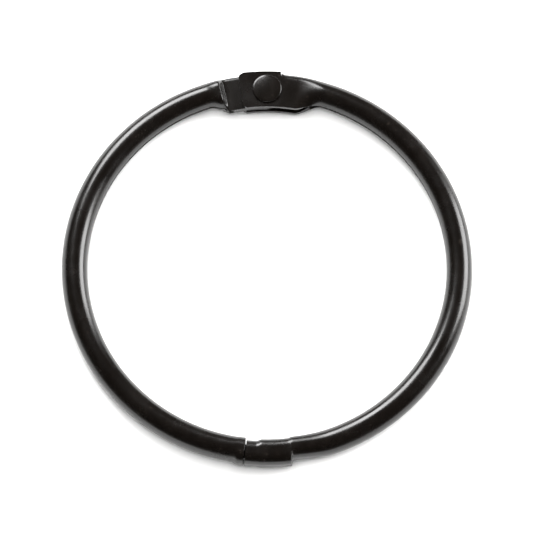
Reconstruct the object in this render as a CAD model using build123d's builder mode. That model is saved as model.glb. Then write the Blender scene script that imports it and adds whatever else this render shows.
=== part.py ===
from build123d import *

import os
from math import asin, cos, degrees, pi, radians, sin

# A hinged binder ring, two inch size. Two half rings, rolled from steel strip into a tube, turn on a
# rivet at the top and snap into each other at the bottom. The ring lies flat on Z = 0, its axis is the
# Z axis, the hinge is at +Y and the snap at -Y. Sizes are in millimetres, angles in degrees.

# --- Driving sizes ---
loop_diameter = 50.0  # clear loop for the sheets
tube_diameter = 3.6
sheet = 0.6  # thickness of the rolled strip
seam_gap = 0.3  # between the strip's two edges, along the inside of the ring

# Hinge: the right half's end is pressed into a fork, the left half's end into a flat tongue. Lengths
# are taken along the tube's centre line, from the hinge.
pivot_inset = 0.7  # rivet's centre, in from the tube's centre line
cheek_reach = 3.75  # from the rivet to the cheeks' free end
cheek_corner = 0.7  # rounding of the free end, seen from above
fold_radius = 1.0  # the fork's closed outer edge
tongue_trim = 0.15  # taken off each side of the tongue, so that it moves freely in the fork
tongue_edge = 0.3
side_clearance = 0.05  # between the tongue and each cheek
opening_angle = 65.0  # how far the left half swings out
stop_margin = 2.0  # the tongue meets the fork's web this far past the opening angle
fork_flat_length = 4.4
fork_length = 8.2  # to where the right half is a round tube
tongue_flat_length = 6.0
shoulder_length = 0.75  # the steep part of the left half's change to a tube
tongue_length = 8.65  # to where the left half is a round tube
shoulder_widening = 0.5  # of the tube, at the top of the shoulder
shoulder_squash = 0.3
crease_length = 0.3  # from the tongue to where the tube's hollow begins
crease_gap = 0.1

shank_diameter = 2.0
shank_clearance = 0.05  # around the shank, in the tongue
cheek_hole_clearance = 0.02  # around the shank, in the cheeks
head_diameter = 4.1
head_shy = 0.1  # the heads lie this far inside the tube's thickness, so that the ring rests on its tube
head_rim = 0.12  # straight side of the head, under its dome

# Snap: a hook on the left half's end goes into the right half's open end.
joint_offset = 3.0  # the line between the halves, left of the ring's centre line
joint_gap = 0.15
socket_length = 6.0
socket_squash = 0.1  # the socket is this much thinner than the tube
socket_proud = 0.3  # the socket stands this far out from the tube on its outer side
socket_recess = 0.15  # its inner side is flattened by this much
lip_length = 2.0  # the socket's mouth is pressed in on its inner side, as the catch
lip_depth = 0.25
mouth_taper = 0.05  # the mouth is this much smaller than the socket on its other three sides
pinch_depth = 0.45  # behind the socket, the outer side is pressed in
pinch_step = 0.35  # length of the step between them
pinch_length = 9.1  # from the ring's centre line to where the tube is round again
corner_loss = 0.4  # a squashed section's corners have this much less radius than the tube
collar_length = 1.5  # the left half's thickened end
collar_widening = 0.3  # all of it on the outer side
plug_length = 1.6  # the strip is folded in to close the tube behind the hook

hook_length = 4.8
hook_clearance = 0.15  # to the socket's outer wall
catch_clearance = 0.1  # between the hook's neck and the lip
catch_depth = 0.15  # how far the hook's head reaches under the lip
catch_gap = 0.15  # along the ring, between the lip and the hook's head
hook_root = 1.0  # the hook's stretch inside the left half
tip_corner = 0.7

# --- Worked out from them ---
tube_radius = tube_diameter / 2
inner_radius = loop_diameter / 2
mid_radius = inner_radius + tube_radius
outer_radius = inner_radius + tube_diameter
pivot_radius = mid_radius - pivot_inset
tongue_thickness = hook_thickness = 2 * sheet  # pressed flat, the strip lies double
slot_height = tongue_thickness + 2 * side_clearance
fork_thickness = slot_height + 2 * sheet
slot_corner = fold_radius - sheet
pressed_width = pi * (tube_diameter - sheet) / 2 + sheet  # the tube's strip, folded flat

cheek_inner = pivot_radius - pressed_width / 2
cheek_outer = pivot_radius + pressed_width / 2
web_inner = cheek_outer - sheet
tongue_half_width = pressed_width / 2 - tongue_trim
tongue_inner = pivot_radius - tongue_half_width
tongue_outer = pivot_radius + tongue_half_width
stop_angle = radians(opening_angle + stop_margin)
web_start = (tongue_half_width - (web_inner - pivot_radius) * cos(stop_angle)) / sin(stop_angle)

hinge, centre_line = 90.0, 270.0  # around the ring from +X; the right half runs through 0
web_angle = hinge - degrees(asin(web_start / pivot_radius))
cheek_end_angle = hinge + degrees(asin(cheek_reach / pivot_radius))


def along(length):
    """The angle that a length takes along the tube's centre line."""
    return degrees(length / mid_radius)


joint_angle = centre_line - along(joint_offset)
right_end = joint_angle + along(joint_gap / 2)
left_end = joint_angle - along(joint_gap / 2)
socket_end = right_end + along(socket_length)
pinch_start = socket_end + along(pinch_step)
lip_end = right_end + along(lip_length)


def station(angle):
    """A plane across the tube: X is the distance from the ring's axis, Y is up from the tube's centre."""
    turn = radians(angle)
    return Plane((0, 0, tube_radius), x_dir=(cos(turn), sin(turn), 0), z_dir=(sin(turn), -cos(turn), 0))


def round_section(radius):
    """A circle about the tube's centre."""
    with BuildSketch() as section:
        with Locations((mid_radius, 0)):
            Circle(radius)
    return section.sketch


def flat_section(inner, outer, thickness, corner):
    """A rounded rectangle between two distances from the ring's axis."""
    with BuildSketch() as section:
        with Locations(((inner + outer) / 2, 0)):
            RectangleRounded(outer - inner, thickness, corner)
    return section.sketch


def bend(section, start, end, mode=Mode.ADD):
    """Run a section around the ring from one angle to another."""
    revolve(station(start) * section, axis=Axis.Z, revolution_arc=end - start, mode=mode)


def change(*stations, mode=Mode.ADD):
    """Run from section to section, each given with its angle; three or more make a smooth run."""
    loft([station(angle) * section for angle, section in stations], ruled=len(stations) == 2, mode=mode)


def inside(inner, outer, thickness, corner):
    """The hollow of a flattened section, one sheet in from its outside."""
    return flat_section(inner + sheet, outer - sheet, thickness - 2 * sheet, corner - sheet)


def slit(gap, near, far):
    """A straight gap between two distances from the ring's axis."""
    with BuildSketch() as section:
        with Locations(((near + far) / 2, 0)):
            Rectangle(far - near, gap)
    return section.sketch


tube = round_section(tube_radius)
bore = round_section(tube_radius - sheet)
edge_seam = slit(seam_gap, inner_radius - sheet, inner_radius + tube_radius)
pivot_plane = Plane((0, pivot_radius, tube_radius))

# --- Right half: the tube, its fork at the hinge and its socket at the snap ---
fork_start, fork_round = hinge - along(fork_flat_length), hinge - along(fork_length)
slot_mouth = cheek_inner - sheet
fork_outside = flat_section(cheek_inner, cheek_outer, fork_thickness, fold_radius)
fork_inside = flat_section(cheek_inner + sheet, web_inner, slot_height, slot_corner)

squashed_corner = tube_radius - corner_loss
socket_inner, socket_outer = inner_radius + socket_recess, outer_radius + socket_proud
socket = (socket_inner, socket_outer, tube_diameter - socket_squash, squashed_corner)
lip_inner, lip_outer = socket_inner + lip_depth, socket_outer - mouth_taper
lip = (lip_inner, lip_outer, tube_diameter - socket_squash - 2 * mouth_taper, squashed_corner)
pinch = (inner_radius, outer_radius - pinch_depth, tube_diameter, squashed_corner)
half_pinch = (inner_radius, outer_radius - pinch_depth / 2, tube_diameter, tube_radius - corner_loss / 2)
pinch_end = centre_line + along(pinch_length)
pinch_middle = (pinch_start + pinch_end) / 2

with BuildPart() as fork_half_ring:
    bend(tube, pinch_end - 360, fork_round)
    change((fork_round, tube), (fork_start, fork_outside))
    bend(fork_outside, fork_start, web_angle)
    with BuildSketch(Plane.XY.offset(tube_radius - fork_thickness / 2)):
        with BuildLine():
            inner_side = CenterArc((0, 0), cheek_inner, web_angle, cheek_end_angle - web_angle)
            outer_side = CenterArc((0, 0), cheek_outer, web_angle, cheek_end_angle - web_angle)
            Line(inner_side @ 0, outer_side @ 0)
            Line(inner_side @ 1, outer_side @ 1)
        make_face()
        fillet(vertices().sort_by(Axis.X)[:2], cheek_corner)
    extrude(amount=fork_thickness)
    change((pinch_end, tube), (pinch_middle, flat_section(*half_pinch)), (pinch_start, flat_section(*pinch)))
    change((pinch_start, flat_section(*pinch)), (socket_end, flat_section(*socket)))
    bend(flat_section(*socket), lip_end, socket_end)
    bend(flat_section(*lip), right_end, lip_end)

    # The hollow of the tube, which opens into the fork's slot and the socket.
    bend(bore, pinch_end - 360, fork_round, Mode.SUBTRACT)
    change((fork_round, bore), (fork_start, fork_inside), mode=Mode.SUBTRACT)
    bend(slit(slot_height, slot_mouth, web_inner), fork_start, web_angle, Mode.SUBTRACT)
    bend(slit(slot_height, slot_mouth, cheek_outer + sheet), web_angle, cheek_end_angle + 1, Mode.SUBTRACT)
    change(
        (pinch_end, bore),
        (pinch_middle, inside(*half_pinch)),
        (pinch_start, inside(*pinch)),
        mode=Mode.SUBTRACT,
    )
    change((pinch_start, inside(*pinch)), (socket_end, inside(*socket)), mode=Mode.SUBTRACT)
    bend(inside(*socket), lip_end, socket_end, Mode.SUBTRACT)
    bend(inside(*lip), right_end, lip_end, Mode.SUBTRACT)

    # The seam between the strip's edges, which widens into the fork's slot.
    bend(edge_seam, right_end - 360, fork_round, Mode.SUBTRACT)
    change(
        (fork_round, edge_seam),
        (fork_start, slit(slot_height, slot_mouth, pivot_radius)),
        mode=Mode.SUBTRACT,
    )
    with Locations(pivot_plane):
        Cylinder(shank_diameter / 2 + cheek_hole_clearance, tube_diameter, mode=Mode.SUBTRACT)

# --- Left half: the tube, its tongue at the hinge and its hook at the snap ---
tongue_end = hinge + along(tongue_flat_length)
shoulder_end = tongue_end + along(shoulder_length)
tongue_round = hinge + along(tongue_length)
crease = tongue_end + along(crease_length)
tongue_outside = flat_section(tongue_inner, tongue_outer, tongue_thickness, tongue_edge)
tongue_inside = slit(crease_gap, tongue_inner + sheet, tongue_outer - sheet)
shoulder = (
    inner_radius - (pivot_inset + shoulder_widening) / 2,
    outer_radius - (pivot_inset - shoulder_widening) / 2,
    tube_diameter - shoulder_squash,
    tube_radius - corner_loss / 2,
)
collar_start = left_end - along(collar_length)
collar_full = left_end - along(collar_length / 2)
plug = left_end - along(plug_length)
with BuildSketch() as collar:
    with Locations((mid_radius + collar_widening / 2, 0)):
        Ellipse(tube_radius + collar_widening / 2, tube_radius - socket_squash / 2)

hook_outer = lip_outer - sheet - hook_clearance
neck_inner = lip_inner + sheet + catch_clearance
head_inner = lip_inner + sheet - catch_depth
head_start = lip_end + along(catch_gap)
hook_start = left_end - along(hook_root)
hook_tip = left_end + along(hook_length)

with BuildPart() as tongue_half_ring:
    with BuildSketch(Plane.XY.offset(tube_radius - tongue_thickness / 2)):
        with BuildLine():
            neck_out = CenterArc((0, 0), tongue_outer, hinge, along(tongue_flat_length))
            neck_in = CenterArc((0, 0), tongue_inner, hinge, along(tongue_flat_length))
            CenterArc((0, pivot_radius), tongue_half_width, -90, 180)
            Line(neck_in @ 1, neck_out @ 1)
        make_face()
    extrude(amount=tongue_thickness)
    fillet(edges().filter_by(GeomType.CIRCLE), tongue_edge)
    bend(tube, tongue_round, collar_start)
    change((collar_start, tube), (collar_full, collar.sketch))
    bend(collar.sketch, collar_full, left_end)
    change((tongue_round, tube), (shoulder_end, flat_section(*shoulder)))
    change((shoulder_end, flat_section(*shoulder)), (tongue_end, tongue_outside))

    # The tube's hollow closes where it is pressed flat, and where its end is folded in.
    bend(bore, tongue_round, plug, Mode.SUBTRACT)
    change((tongue_round, bore), (shoulder_end, inside(*shoulder)), mode=Mode.SUBTRACT)
    change((shoulder_end, inside(*shoulder)), (crease, tongue_inside), mode=Mode.SUBTRACT)
    bend(edge_seam, tongue_round, plug, Mode.SUBTRACT)
    change(
        (tongue_round, edge_seam),
        (crease, slit(crease_gap, tongue_inner - sheet, pivot_radius)),
        mode=Mode.SUBTRACT,
    )
    with BuildSketch(Plane.XY.offset(tube_radius - hook_thickness / 2)):
        with BuildLine():
            back = CenterArc((0, 0), hook_outer, hook_start, hook_tip - hook_start)
            neck = CenterArc((0, 0), neck_inner, hook_start, head_start - hook_start)
            head = CenterArc((0, 0), head_inner, head_start, hook_tip - head_start)
            Line(neck @ 1, head @ 0)
            Line(neck @ 0, back @ 0)
            Line(head @ 1, back @ 1)
        make_face()
        fillet(vertices().sort_by(Axis.X)[-2:], tip_corner)
    extrude(amount=hook_thickness)
    with Locations(pivot_plane):
        Cylinder(shank_diameter / 2 + shank_clearance, tube_diameter, mode=Mode.SUBTRACT)

# --- Rivet: turned from wire, headed on both sides ---
shank_radius, head_radius = shank_diameter / 2, head_diameter / 2
head_seat = fork_thickness / 2
rim_height = head_seat + head_rim
crown_height = tube_radius - head_shy
dome_height = crown_height - rim_height
dome_radius = (head_radius**2 + dome_height**2) / (2 * dome_height)
dome_angle = degrees(asin(head_radius / dome_radius))

with BuildPart() as hinge_rivet:
    with BuildSketch(Plane(pivot_plane.origin, x_dir=(1, 0, 0), z_dir=(0, -1, 0))):
        with BuildLine():
            Polyline((0, crown_height), (0, 0), (shank_radius, 0), (shank_radius, head_seat))
            Polyline((shank_radius, head_seat), (head_radius, head_seat), (head_radius, rim_height))
            CenterArc((0, crown_height - dome_radius), dome_radius, 90 - dome_angle, dome_angle)
        make_face()
        mirror(about=Plane.XZ)
    revolve(axis=Axis(pivot_plane.origin, (0, 0, 1)))

fork_half_ring.part.label = "fork_half_ring"
tongue_half_ring.part.label = "tongue_half_ring"
hinge_rivet.part.label = "hinge_rivet"
os.makedirs("parts", exist_ok=True)
for piece in (fork_half_ring.part, tongue_half_ring.part, hinge_rivet.part):
    export_step(piece, f"parts/{piece.label}.step")
    print(piece.label, len(piece.solids()), piece.is_valid, round(piece.volume, 2))
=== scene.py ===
from math import asin, atan2, cos, degrees, hypot, pi, radians, sin, sqrt

import bmesh
import bpy
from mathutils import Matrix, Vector


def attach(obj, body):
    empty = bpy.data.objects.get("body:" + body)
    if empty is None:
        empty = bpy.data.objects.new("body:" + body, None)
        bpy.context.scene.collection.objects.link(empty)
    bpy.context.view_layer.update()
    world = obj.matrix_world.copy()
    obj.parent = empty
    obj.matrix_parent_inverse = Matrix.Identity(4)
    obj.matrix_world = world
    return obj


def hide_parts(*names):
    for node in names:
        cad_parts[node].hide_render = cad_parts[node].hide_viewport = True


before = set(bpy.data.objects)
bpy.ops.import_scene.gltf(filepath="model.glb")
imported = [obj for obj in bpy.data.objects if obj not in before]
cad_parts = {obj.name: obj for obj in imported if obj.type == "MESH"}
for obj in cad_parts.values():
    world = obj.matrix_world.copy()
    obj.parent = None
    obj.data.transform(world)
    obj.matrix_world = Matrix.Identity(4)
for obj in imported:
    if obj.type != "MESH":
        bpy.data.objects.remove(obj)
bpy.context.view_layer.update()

# Right half ring. A steel strip, rolled until its edges nearly meet along the inside of the ring. Its
# upper end is opened out and pressed into a fork of two cheeks, joined by the fold on the outer side.
# Its lower end is left open as the socket of the snap, with a pinched neck behind it.
mm = 0.001
loop_radius, tube_radius, sheet = 25 * mm, 1.8 * mm, 0.6 * mm
middle_radius = loop_radius + tube_radius
rivet_radius = middle_radius - 0.7 * mm  # the rivet's distance from the ring's axis
seam = 0.3 * mm
arm_columns, fold_columns = 16, 24
column_count = 2 * arm_columns + fold_columns

press_width = pi * (tube_radius - sheet / 2) + sheet
cheek_in, cheek_out = rivet_radius - press_width / 2, rivet_radius + press_width / 2
cheek_reach, cheek_corner = 3.75 * mm, 0.7 * mm
cheek_height = 0.95 * mm  # from the ring's mid-plane to the middle of a cheek's thickness
web_reach = 1.88 * mm  # the fold is cut away to the left of this


def along(length):
    """The angle in degrees that a length takes around the ring."""
    return degrees(length / middle_radius)


def rounded_path(inner, outer, half_height, corner):
    """The strip's mid-line as a closed tube: a rounded box with the seam at its inner side."""
    points = []
    top_run = max(outer - inner - 2 * corner, 0)
    side_run = max(2 * (half_height - corner), 0)
    arc = corner * pi / 2
    lengths = [side_run / 2, arc, top_run, arc, side_run, arc, top_run, arc, side_run / 2]
    total = sum(lengths)
    corners = ((inner, -1, pi), (outer, -1, 1.5 * pi), (outer, 1, 0), (inner, 1, pi / 2))
    for column in range(column_count):
        place = seam / 2 + (total - seam) * column / (column_count - 1)
        leg = 0
        while leg < 8 and place > lengths[leg]:
            place -= lengths[leg]
            leg += 1
        if leg % 2:
            side, sign, start = corners[leg // 2]
            turn = start + place / corner
            middle = side + corner if side == inner else side - corner
            points.append((middle + corner * cos(turn), sign * (half_height - corner) + corner * sin(turn)))
        elif leg == 0:
            points.append((inner, -place))
        elif leg == 2:
            points.append((inner + corner + place, -half_height))
        elif leg == 4:
            points.append((outer, place - side_run / 2))
        elif leg == 6:
            points.append((outer - corner - place, half_height))
        else:
            points.append((inner, side_run / 2 - place))
    return points


def folded_path(inner, outer, half_height, fold):
    """The strip's mid-line folded in two: an arm, the fold on the outer side, and the other arm."""
    arm_end = outer - fold
    points = []
    for column in range(arm_columns):
        points.append((inner + (arm_end - inner) * column / arm_columns, -half_height))
    run = 2 * (half_height - fold)
    total = pi * fold + run
    for column in range(fold_columns):
        place = total * column / (fold_columns - 1)
        if place < pi * fold / 2:
            turn = place / fold - pi / 2
            points.append((arm_end + fold * cos(turn), fold - half_height + fold * sin(turn)))
        elif place <= pi * fold / 2 + run:
            points.append((outer, fold - half_height + place - pi * fold / 2))
        else:
            turn = (place - run) / fold - pi / 2
            points.append((arm_end + fold * cos(turn), half_height - fold + fold * sin(turn)))
    for column in reversed(range(arm_columns)):
        points.append((inner + (arm_end - inner) * column / arm_columns, half_height))
    return points


def both_sides(path):
    """The strip's outer and inner surface, half a sheet to each side of its mid-line."""
    outside, hollow = [], []
    for column, (r, z) in enumerate(path):
        before, after = path[max(column - 1, 0)], path[min(column + 1, len(path) - 1)]
        run, rise = after[0] - before[0], after[1] - before[1]
        size = hypot(run, rise) or 1
        across = (rise / size * sheet / 2, -run / size * sheet / 2)
        outside.append((r + across[0], z + across[1]))
        hollow.append((r - across[0], z - across[1]))
    return outside, hollow


def ease(share):
    """A soft start and end for a change of shape."""
    return share * share * (3 - 2 * share)


def formed_strip(name, stations, has_cell=lambda station, column: True, reach=lambda r, angle: angle):
    """A strip formed along the ring. Each station is an angle and a path; cells that are cut away leave walls."""
    mesh = bpy.data.meshes.new(name)
    shape = bmesh.new()
    grid = []
    for angle, path in stations:
        row = []
        for side in both_sides(path):
            verts = []
            for r, z in side:
                turn = radians(reach(r, angle))
                verts.append(shape.verts.new((r * cos(turn), r * sin(turn), tube_radius + z)))
            row.append(verts)
        grid.append(row)

    last_row, last_column = len(stations) - 2, column_count - 2

    def cell(i, k):
        return 0 <= i <= last_row and 0 <= k <= last_column and has_cell(i, k)

    for i in range(last_row + 1):
        for k in range(last_column + 1):
            if not cell(i, k):
                continue
            for s in (0, 1):
                shape.faces.new((grid[i][s][k], grid[i][s][k + 1], grid[i + 1][s][k + 1], grid[i + 1][s][k]))
            edges = (
                (cell(i - 1, k), i, k, i, k + 1),
                (cell(i + 1, k), i + 1, k, i + 1, k + 1),
                (cell(i, k - 1), i, k, i + 1, k),
                (cell(i, k + 1), i, k + 1, i + 1, k + 1),
            )
            for joined, a, b, c, d in edges:
                if not joined:
                    shape.faces.new((grid[a][0][b], grid[c][0][d], grid[c][1][d], grid[a][1][b]))
    loose = [v for v in shape.verts if not v.link_faces]
    bmesh.ops.delete(shape, geom=loose, context="VERTS")
    bmesh.ops.remove_doubles(shape, verts=shape.verts, dist=0.0005 * mm)
    bmesh.ops.recalc_face_normals(shape, faces=shape.faces)
    shape.to_mesh(mesh)
    shape.free()
    for face in mesh.polygons:
        face.use_smooth = True
    piece = bpy.data.objects.new(name, mesh)
    bpy.context.collection.objects.link(piece)
    return piece


def soften_edges(piece, width):
    """Round the cut edges a little, as tumbling and paint leave them."""
    bevel = piece.modifiers.new("cut edges", "BEVEL")
    bevel.width = width
    bevel.segments = 3
    bevel.limit_method = "ANGLE"
    bevel.angle_limit = radians(42)
    bevel.use_clamp_overlap = False
    bevel.harden_normals = True


def stations_between(start, end, start_path, end_path, count, shaped=ease):
    """Even steps from one path to the next, without the last."""
    rows = []
    for step in range(count):
        share = step / count
        weight = shaped(share)
        path = [
            (a[0] + (b[0] - a[0]) * weight, a[1] + (b[1] - a[1]) * weight)
            for a, b in zip(start_path, end_path)
        ]
        rows.append((start + (end - start) * share, path))
    return rows


half_sheet = sheet / 2
tube_path = rounded_path(
    loop_radius + half_sheet, middle_radius + tube_radius - half_sheet, tube_radius - half_sheet, tube_radius - half_sheet
)
fold_out = cheek_out - half_sheet - 0.12 * mm  # the fold's mid-line, a little inside the cheeks' edges
cut_fold = 0.2 * mm
fork_path = folded_path(cheek_in, fold_out, cheek_height, 0.7 * mm)
cut_fork_path = folded_path(cheek_in, fold_out, cheek_height, cut_fold)
cheek_path = folded_path(cheek_in, cheek_out + cut_fold, cheek_height, cut_fold)
socket_path = rounded_path(loop_radius + 0.45 * mm, loop_radius + 3.6 * mm, 1.45 * mm, 1.05 * mm)
lip_path = rounded_path(loop_radius + 0.7 * mm, loop_radius + 3.55 * mm, 1.4 * mm, 1.05 * mm)
pinch_path = rounded_path(loop_radius + 0.3 * mm, loop_radius + 2.85 * mm, 1.5 * mm, 1.1 * mm)

snap_line = 270 - along(3.0 * mm)  # the line between the halves
socket_mouth = snap_line + along(0.075 * mm)
lip_end = socket_mouth + along(1.9 * mm)
socket_end = socket_mouth + along(6.0 * mm)
fork_cut = 90 - degrees(asin(web_reach / rivet_radius))
fork_end = 90 + degrees(asin(cheek_reach / rivet_radius))

right_rows = stations_between(socket_mouth, lip_end - along(0.5 * mm), lip_path, lip_path, 6)
right_rows += stations_between(lip_end - along(0.5 * mm), lip_end + along(0.3 * mm), lip_path, socket_path, 8)
right_rows += stations_between(lip_end + along(0.3 * mm), socket_end, socket_path, socket_path, 10)
right_rows += stations_between(socket_end, socket_end + along(0.45 * mm), socket_path, pinch_path, 8)
right_rows += stations_between(socket_end + along(0.45 * mm), 270 + along(9.1 * mm), pinch_path, tube_path, 24)
right_rows += stations_between(270 + along(9.1 * mm), 450 - along(8.4 * mm), tube_path, tube_path, 140)
right_rows += stations_between(450 - along(8.4 * mm), 450 - along(4.3 * mm), tube_path, fork_path, 26)
right_rows += stations_between(450 - along(4.3 * mm), fork_cut + 360 - along(0.8 * mm), fork_path, fork_path, 8)
right_rows += stations_between(fork_cut + 360 - along(0.8 * mm), fork_cut + 360, fork_path, cut_fork_path, 10)
cheek_row = len(right_rows)
right_rows.append((fork_cut + 360, cut_fork_path))
right_rows += stations_between(fork_cut + 360 + along(0.12 * mm), fork_end + 360, cheek_path, cheek_path, 24)
right_rows.append((fork_end + 360, cheek_path))


def right_cell(row, column):
    """Past the cut, only the two cheeks are left."""
    return row < cheek_row or column < arm_columns or column >= column_count - arm_columns - 1


def cheek_end(r, angle):
    """Draw the cheeks' free end in at its corners."""
    if angle <= fork_cut + 360:
        return angle
    past = max(0.0, abs(r - rivet_radius) - (press_width / 2 - cheek_corner))
    short = cheek_corner - sqrt(max(cheek_corner**2 - min(past, cheek_corner) ** 2, 0))
    full = fork_end - fork_cut
    return fork_cut + 360 + (angle - 360 - fork_cut) * (full - along(short)) / full


right_half = formed_strip("right_half_ring", right_rows, right_cell, cheek_end)
soften_edges(right_half, 0.05 * mm)


def link(nodes, start, end):
    """Join one named socket to another; each is given as (node, socket)."""
    nodes.id_data.links.new(start[0].outputs[start[1]], end[0].inputs[end[1]])


def effect_group(name, inputs, outputs):
    """An empty node group with number sockets in, and the given kinds of sockets out."""
    group = bpy.data.node_groups.new(name, "ShaderNodeTree")
    for label, value in inputs.items():
        group.interface.new_socket(label, in_out="INPUT", socket_type="NodeSocketFloat").default_value = value
    for label, kind in outputs.items():
        group.interface.new_socket(label, in_out="OUTPUT", socket_type=kind)
    return group, group.nodes.new("NodeGroupInput"), group.nodes.new("NodeGroupOutput")


# Enamel's flow: stoving leaves a faint orange peel and slow swells in the thickness of the coat.
paint_flow, flow_in, flow_out = effect_group(
    "paint flow",
    {"Peel Size": 1400.0, "Swell Size": 260.0, "Swell Share": 0.6},
    {"Height": "NodeSocketFloat", "Sheen Change": "NodeSocketFloat"},
)
nodes = paint_flow.nodes
place = nodes.new("ShaderNodeTexCoord")
peel = nodes.new("ShaderNodeTexNoise")
peel.inputs["Detail"].default_value = 2
swell = nodes.new("ShaderNodeTexNoise")
swell.inputs["Detail"].default_value = 3
mixed = nodes.new("ShaderNodeMix")
mixed.data_type = "FLOAT"
for noise, size in ((peel, "Peel Size"), (swell, "Swell Size")):
    link(nodes, (place, "Object"), (noise, "Vector"))
    link(nodes, (flow_in, size), (noise, "Scale"))
link(nodes, (flow_in, "Swell Share"), (mixed, "Factor"))
link(nodes, (peel, "Fac"), (mixed, "A"))
link(nodes, (swell, "Fac"), (mixed, "B"))
link(nodes, (mixed, "Result"), (flow_out, "Height"))
link(nodes, (swell, "Fac"), (flow_out, "Sheen Change"))

# Handling: hairline rubs in the top of the coat and a few specks of dust.
handling, handling_in, handling_out = effect_group(
    "handling",
    {"Rub Size": 900.0, "Rub Amount": 0.5, "Speck Size": 1500.0, "Speck Cut": 0.74},
    {"Rubs": "NodeSocketFloat", "Specks": "NodeSocketFloat"},
)
nodes = handling.nodes
place = nodes.new("ShaderNodeTexCoord")
stretch = nodes.new("ShaderNodeMapping")
stretch.inputs["Scale"].default_value = (1.0, 0.25, 3.0)
rubs = nodes.new("ShaderNodeTexNoise")
rubs.inputs["Detail"].default_value = 6
rubs.inputs["Roughness"].default_value = 0.7
rub_range = nodes.new("ShaderNodeMapRange")
rub_range.inputs["From Min"].default_value = 0.45
rub_range.inputs["From Max"].default_value = 0.75
specks = nodes.new("ShaderNodeTexNoise")
specks.inputs["Detail"].default_value = 1
speck_cut = nodes.new("ShaderNodeMath")
speck_cut.operation = "GREATER_THAN"
link(nodes, (place, "Object"), (stretch, "Vector"))
link(nodes, (stretch, "Vector"), (rubs, "Vector"))
link(nodes, (handling_in, "Rub Size"), (rubs, "Scale"))
link(nodes, (rubs, "Fac"), (rub_range, "Value"))
link(nodes, (handling_in, "Rub Amount"), (rub_range, "To Max"))
link(nodes, (rub_range, "Result"), (handling_out, "Rubs"))
link(nodes, (place, "Object"), (specks, "Vector"))
link(nodes, (handling_in, "Speck Size"), (specks, "Scale"))
nodes.id_data.links.new(specks.outputs["Fac"], speck_cut.inputs[0])
nodes.id_data.links.new(handling_in.outputs["Speck Cut"], speck_cut.inputs[1])
link(nodes, (speck_cut, "Value"), (handling_out, "Specks"))


def black_finish(name, colour, dusty, gloss_range, peel_depth):
    """Black stoving enamel with its flow and handling marks."""
    material = bpy.data.materials.new(name)
    material.use_nodes = True
    nodes = material.node_tree.nodes
    coat = nodes["Principled BSDF"]
    coat.inputs["Specular IOR Level"].default_value = 0.4
    coat.inputs["Coat Roughness"].default_value = 0.15
    coat.inputs["Coat Weight"].default_value = 0.25
    flow = nodes.new("ShaderNodeGroup")
    flow.node_tree = paint_flow
    marks = nodes.new("ShaderNodeGroup")
    marks.node_tree = handling
    tint = nodes.new("ShaderNodeMix")
    tint.data_type = "RGBA"
    tint.inputs["A"].default_value = (*colour, 1)
    tint.inputs["B"].default_value = (*dusty, 1)
    tint_share = nodes.new("ShaderNodeMath")
    tint_share.operation = "MULTIPLY_ADD"
    tint_share.inputs[1].default_value = 0.5
    nodes.id_data.links.new(marks.outputs["Rubs"], tint_share.inputs[0])
    nodes.id_data.links.new(marks.outputs["Specks"], tint_share.inputs[2])
    link(nodes, (tint_share, "Value"), (tint, "Factor"))
    link(nodes, (tint, "Result"), (coat, "Base Color"))
    gloss = nodes.new("ShaderNodeMapRange")
    gloss.inputs["From Min"].default_value = 0.3
    gloss.inputs["From Max"].default_value = 0.7
    gloss.inputs["To Min"].default_value = gloss_range[0]
    gloss.inputs["To Max"].default_value = gloss_range[1]
    link(nodes, (flow, "Sheen Change"), (gloss, "Value"))
    link(nodes, (gloss, "Result"), (coat, "Roughness"))
    bump = nodes.new("ShaderNodeBump")
    bump.inputs["Strength"].default_value = 0.5
    bump.inputs["Distance"].default_value = peel_depth
    link(nodes, (flow, "Height"), (bump, "Height"))
    link(nodes, (bump, "Normal"), (coat, "Normal"))
    return material


enamel = black_finish("black enamel", (0.0023, 0.0015, 0.0010), (0.012, 0.0092, 0.0074), (0.20, 0.31), 0.010 * mm)
right_half.data.materials.append(enamel)
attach(right_half, "fork_half")
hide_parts("fork_half_ring")

# Left half ring. The same rolled strip. Its upper end is pressed flat into a tongue of two layers, which
# is trimmed narrower than the fork and rounded where it turns on the rivet. Its lower end is closed and
# carries the hook that snaps under the socket's lip.
tongue_half = press_width / 2 - 0.15 * mm
tongue_in, tongue_out = rivet_radius - tongue_half, rivet_radius + tongue_half
layer_height = 0.3 * mm
flat_path = folded_path(tongue_in, tongue_out - half_sheet, layer_height, 0.28 * mm)
shoulder_path = rounded_path(loop_radius - 0.3 * mm, loop_radius + 3.25 * mm, 1.35 * mm, 1.05 * mm)
collar_path = rounded_path(loop_radius + 0.3 * mm, loop_radius + 3.6 * mm, 1.45 * mm, 1.3 * mm)

left_end = snap_line - along(0.075 * mm)
tongue_flat_end = 90 + along(6.0 * mm)
shoulder_top = tongue_flat_end + along(0.75 * mm)
left_tube_start = 90 + along(8.65 * mm)
tongue_tip = 90 - degrees(asin(tongue_half / rivet_radius))

left_rows = stations_between(tongue_tip, 90, flat_path, flat_path, 16)
left_rows += stations_between(90, tongue_flat_end, flat_path, flat_path, 16)
left_rows += stations_between(tongue_flat_end, shoulder_top, flat_path, shoulder_path, 12)
left_rows += stations_between(shoulder_top, left_tube_start, shoulder_path, tube_path, 14)
left_rows += stations_between(left_tube_start, left_end - along(1.6 * mm), tube_path, tube_path, 130)
left_rows += stations_between(left_end - along(1.6 * mm), left_end - along(0.7 * mm), tube_path, collar_path, 10)
left_rows += stations_between(left_end - along(0.7 * mm), left_end, collar_path, collar_path, 5)
left_rows.append((left_end, collar_path))


def tongue_end(r, angle):
    """Round the tongue about the rivet."""
    if angle >= 90:
        return angle
    width = sqrt(max(tongue_half**2 - min(abs(r - rivet_radius), tongue_half) ** 2, 0)) / tongue_half
    return 90 - (90 - angle) * width


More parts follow.
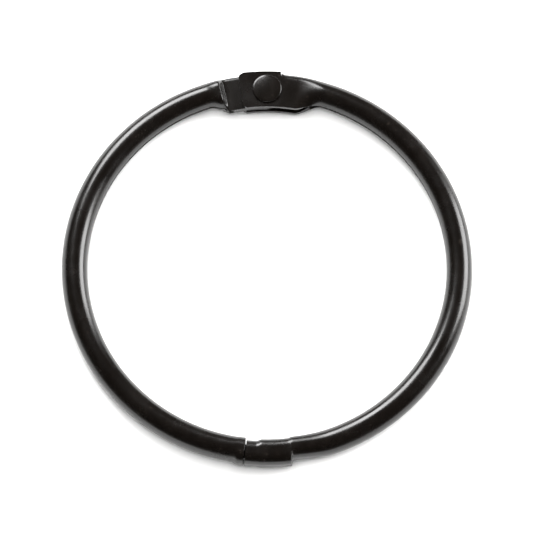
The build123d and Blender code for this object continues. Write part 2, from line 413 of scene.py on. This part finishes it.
left_half = formed_strip("left_half_ring", left_rows, reach=tongue_end)


def add_bar(shape, rows):
    """Skin a solid bar through closed sections; each row is an angle and its (r, z) points."""
    rings = []
    for angle, section in rows:
        turn = radians(angle)
        rings.append([shape.verts.new((r * cos(turn), r * sin(turn), tube_radius + z)) for r, z in section])
    for low, high in zip(rings, rings[1:]):
        for here in range(len(low)):
            after = (here + 1) % len(low)
            shape.faces.new((low[here], low[after], high[after], high[here]))
    shape.faces.new(rings[0])
    shape.faces.new(rings[-1])


hook_half, hook_out = 0.6 * mm, loop_radius + 3.1 * mm
neck_in, head_in = loop_radius + 1.1 * mm, loop_radius + 0.85 * mm
hook_length, head_from, tip_round, hook_steps = 4.8 * mm, 2.15 * mm, 0.7 * mm, 48
hook_rows = []
for step in range(hook_steps + 1):
    length = -1.0 * mm + (hook_length + 1.0 * mm) * step / hook_steps
    head_share = ease(min(max((length - head_from) / (0.3 * mm), 0), 1))
    low, high = neck_in + (head_in - neck_in) * head_share, hook_out
    past = max(0.0, length - (hook_length - tip_round))
    draw = tip_round - sqrt(max(tip_round**2 - past**2, 0))
    low, high = low + draw, high - draw
    section = [(low, -hook_half), (high, -hook_half), (high, hook_half), (low, hook_half)]
    hook_rows.append((left_end + along(length), section))
plug_radius, plug_points = 1.25 * mm, 32
plug_section = [
    (middle_radius + 0.08 * mm + plug_radius * cos(2 * pi * i / plug_points), plug_radius * sin(2 * pi * i / plug_points))
    for i in range(plug_points)
]
plug_rows = [(left_end - along(length), plug_section) for length in (1.6 * mm, 0.9 * mm, 0.12 * mm)]
shape = bmesh.new()
shape.from_mesh(left_half.data)
add_bar(shape, hook_rows)
add_bar(shape, plug_rows)
bmesh.ops.recalc_face_normals(shape, faces=shape.faces)
shape.to_mesh(left_half.data)
shape.free()
for face in left_half.data.polygons:
    face.use_smooth = True
soften_edges(left_half, 0.05 * mm)
left_half.data.materials.append(enamel)
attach(left_half, "tongue_half")
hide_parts("tongue_half_ring")

# Rivet. Turned from wire and headed cold on both cheeks, so each head is a low dome with a rounded rim,
# under the same enamel.
head_radius, head_seat, head_top, rim_round = 2.05 * mm, 1.25 * mm, 1.70 * mm, 0.14 * mm
turns = 96
profile = [(0.0, 0.0), (1.0 * mm, 0.0), (1.0 * mm, head_seat), (head_radius - 0.04 * mm, head_seat)]
rim_top = head_seat + 0.16 * mm
for step in range(7):
    turn = radians(-30 + 100 * step / 6)
    profile.append((head_radius - rim_round + rim_round * cos(turn), rim_top + rim_round * sin(turn)))
rim_r, rim_z = profile[-1]
for step in range(1, 13):
    share = step / 12
    profile.append((rim_r * (1 - share), rim_z + (head_top - rim_z) * (1 - (1 - share) ** 2)))
mesh = bpy.data.meshes.new("rivet")
shape = bmesh.new()
for sign in (1, -1):
    rings = []
    for r, z in profile:
        if r == 0:
            rings.append([shape.verts.new((0, rivet_radius, tube_radius + sign * z))])
            continue
        ring = []
        for turn in range(turns):
            angle = 2 * pi * turn / turns
            ring.append(shape.verts.new((r * cos(angle), rivet_radius + r * sin(angle), tube_radius + sign * z)))
        rings.append(ring)
    for low, high in zip(rings[1:], rings[2:]):
        for turn in range(turns):
            after = (turn + 1) % turns
            if len(high) == 1:
                shape.faces.new((low[turn], low[after], high[0]))
            else:
                shape.faces.new((low[turn], low[after], high[after], high[turn]))
bmesh.ops.delete(shape, geom=[v for v in shape.verts if not v.link_faces], context="VERTS")
bmesh.ops.remove_doubles(shape, verts=shape.verts, dist=0.001 * mm)
bmesh.ops.recalc_face_normals(shape, faces=shape.faces)
shape.to_mesh(mesh)
shape.free()
for face in mesh.polygons:
    face.use_smooth = True
rivet = bpy.data.objects.new("rivet", mesh)
bpy.context.collection.objects.link(rivet)
rivet_enamel = black_finish("rivet enamel", (0.0026, 0.0018, 0.0012), (0.014, 0.0110, 0.0090), (0.18, 0.28), 0.008 * mm)
rivet.data.materials.append(rivet_enamel)
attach(rivet, "fork_half")
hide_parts("hinge_rivet")

# The table: a plain, nearly white sheet that the ring lies on.
floor_mesh = bpy.data.meshes.new("floor")
half_table = 0.56
corners = [(x * half_table, y * half_table, 0) for x, y in ((-1, -1), (1, -1), (1, 1), (-1, 1))]
floor_mesh.from_pydata(corners, [], [(0, 1, 2, 3)])
floor = bpy.data.objects.new("floor", floor_mesh)
bpy.context.collection.objects.link(floor)
paper = bpy.data.materials.new("pale floor")
paper.use_nodes = True
paper_coat = paper.node_tree.nodes["Principled BSDF"]
paper_coat.inputs["Base Color"].default_value = (0.92, 0.92, 0.915, 1)
paper_coat.inputs["Roughness"].default_value = 0.9
paper_coat.inputs["Specular IOR Level"].default_value = 0.1
floor.data.materials.append(paper)

# The studio: low soft lights from the upper left and the right draw the streaks, a broad one overhead
# whitens the table without showing in the enamel. The room has pale walls and a dark ceiling.
world = bpy.data.worlds.new("pale room")
bpy.context.scene.world = world
world.use_nodes = True
room = world.node_tree.nodes
room["Background"].inputs["Color"].default_value = (1, 0.97, 0.94, 1)
direction = room.new("ShaderNodeTexCoord")
height = room.new("ShaderNodeSeparateXYZ")
wall_to_ceiling = room.new("ShaderNodeMapRange")
wall_to_ceiling.inputs["From Max"].default_value = 0.22
wall_to_ceiling.inputs["To Min"].default_value = 0.60
wall_to_ceiling.inputs["To Max"].default_value = 0.06
link(room, (direction, "Generated"), (height, "Vector"))
link(room, (height, "Z"), (wall_to_ceiling, "Value"))
link(room, (wall_to_ceiling, "Result"), (room["Background"], "Strength"))


def soft_light(name, place, aim, size, power):
    """A square soft box at a place, turned to face a point."""
    lamp = bpy.data.lights.new(name, "AREA")
    lamp.size = size
    lamp.energy = power
    box = bpy.data.objects.new(name, lamp)
    box.location = place
    box.rotation_euler = (Vector(aim) - Vector(place)).to_track_quat("-Z", "Y").to_euler()
    bpy.context.collection.objects.link(box)
    return box


soft_light("upper left", (-0.19, 0.44, 0.36), (0, 0, 0), 0.30, 4.6)
soft_light("right", (0.43, 0.16, 0.21), (0, 0, 0), 0.30, 3.6)
overhead = soft_light("overhead", (0, 0, 0.90), (0, 0, 0), 1.0, 13.0)
overhead.visible_glossy = False

# The camera looks down from the snap's side, as at a ring on a desk.
camera_data = bpy.data.cameras.new("camera")
camera = bpy.data.objects.new("camera", camera_data)
bpy.context.collection.objects.link(camera)
bpy.context.scene.camera = camera
elevation, distance = radians(71.3), 0.62
aim = Vector((0, 0, 1.8 * mm))
camera.location = aim + distance * Vector((0, -cos(elevation), sin(elevation)))
camera.rotation_euler = (aim - camera.location).to_track_quat("-Z", "Y").to_euler()
camera_data.lens = 300
camera_data.sensor_width = 36
camera_data.clip_start = 0.01
bpy.context.scene.view_settings.view_transform = "Standard"
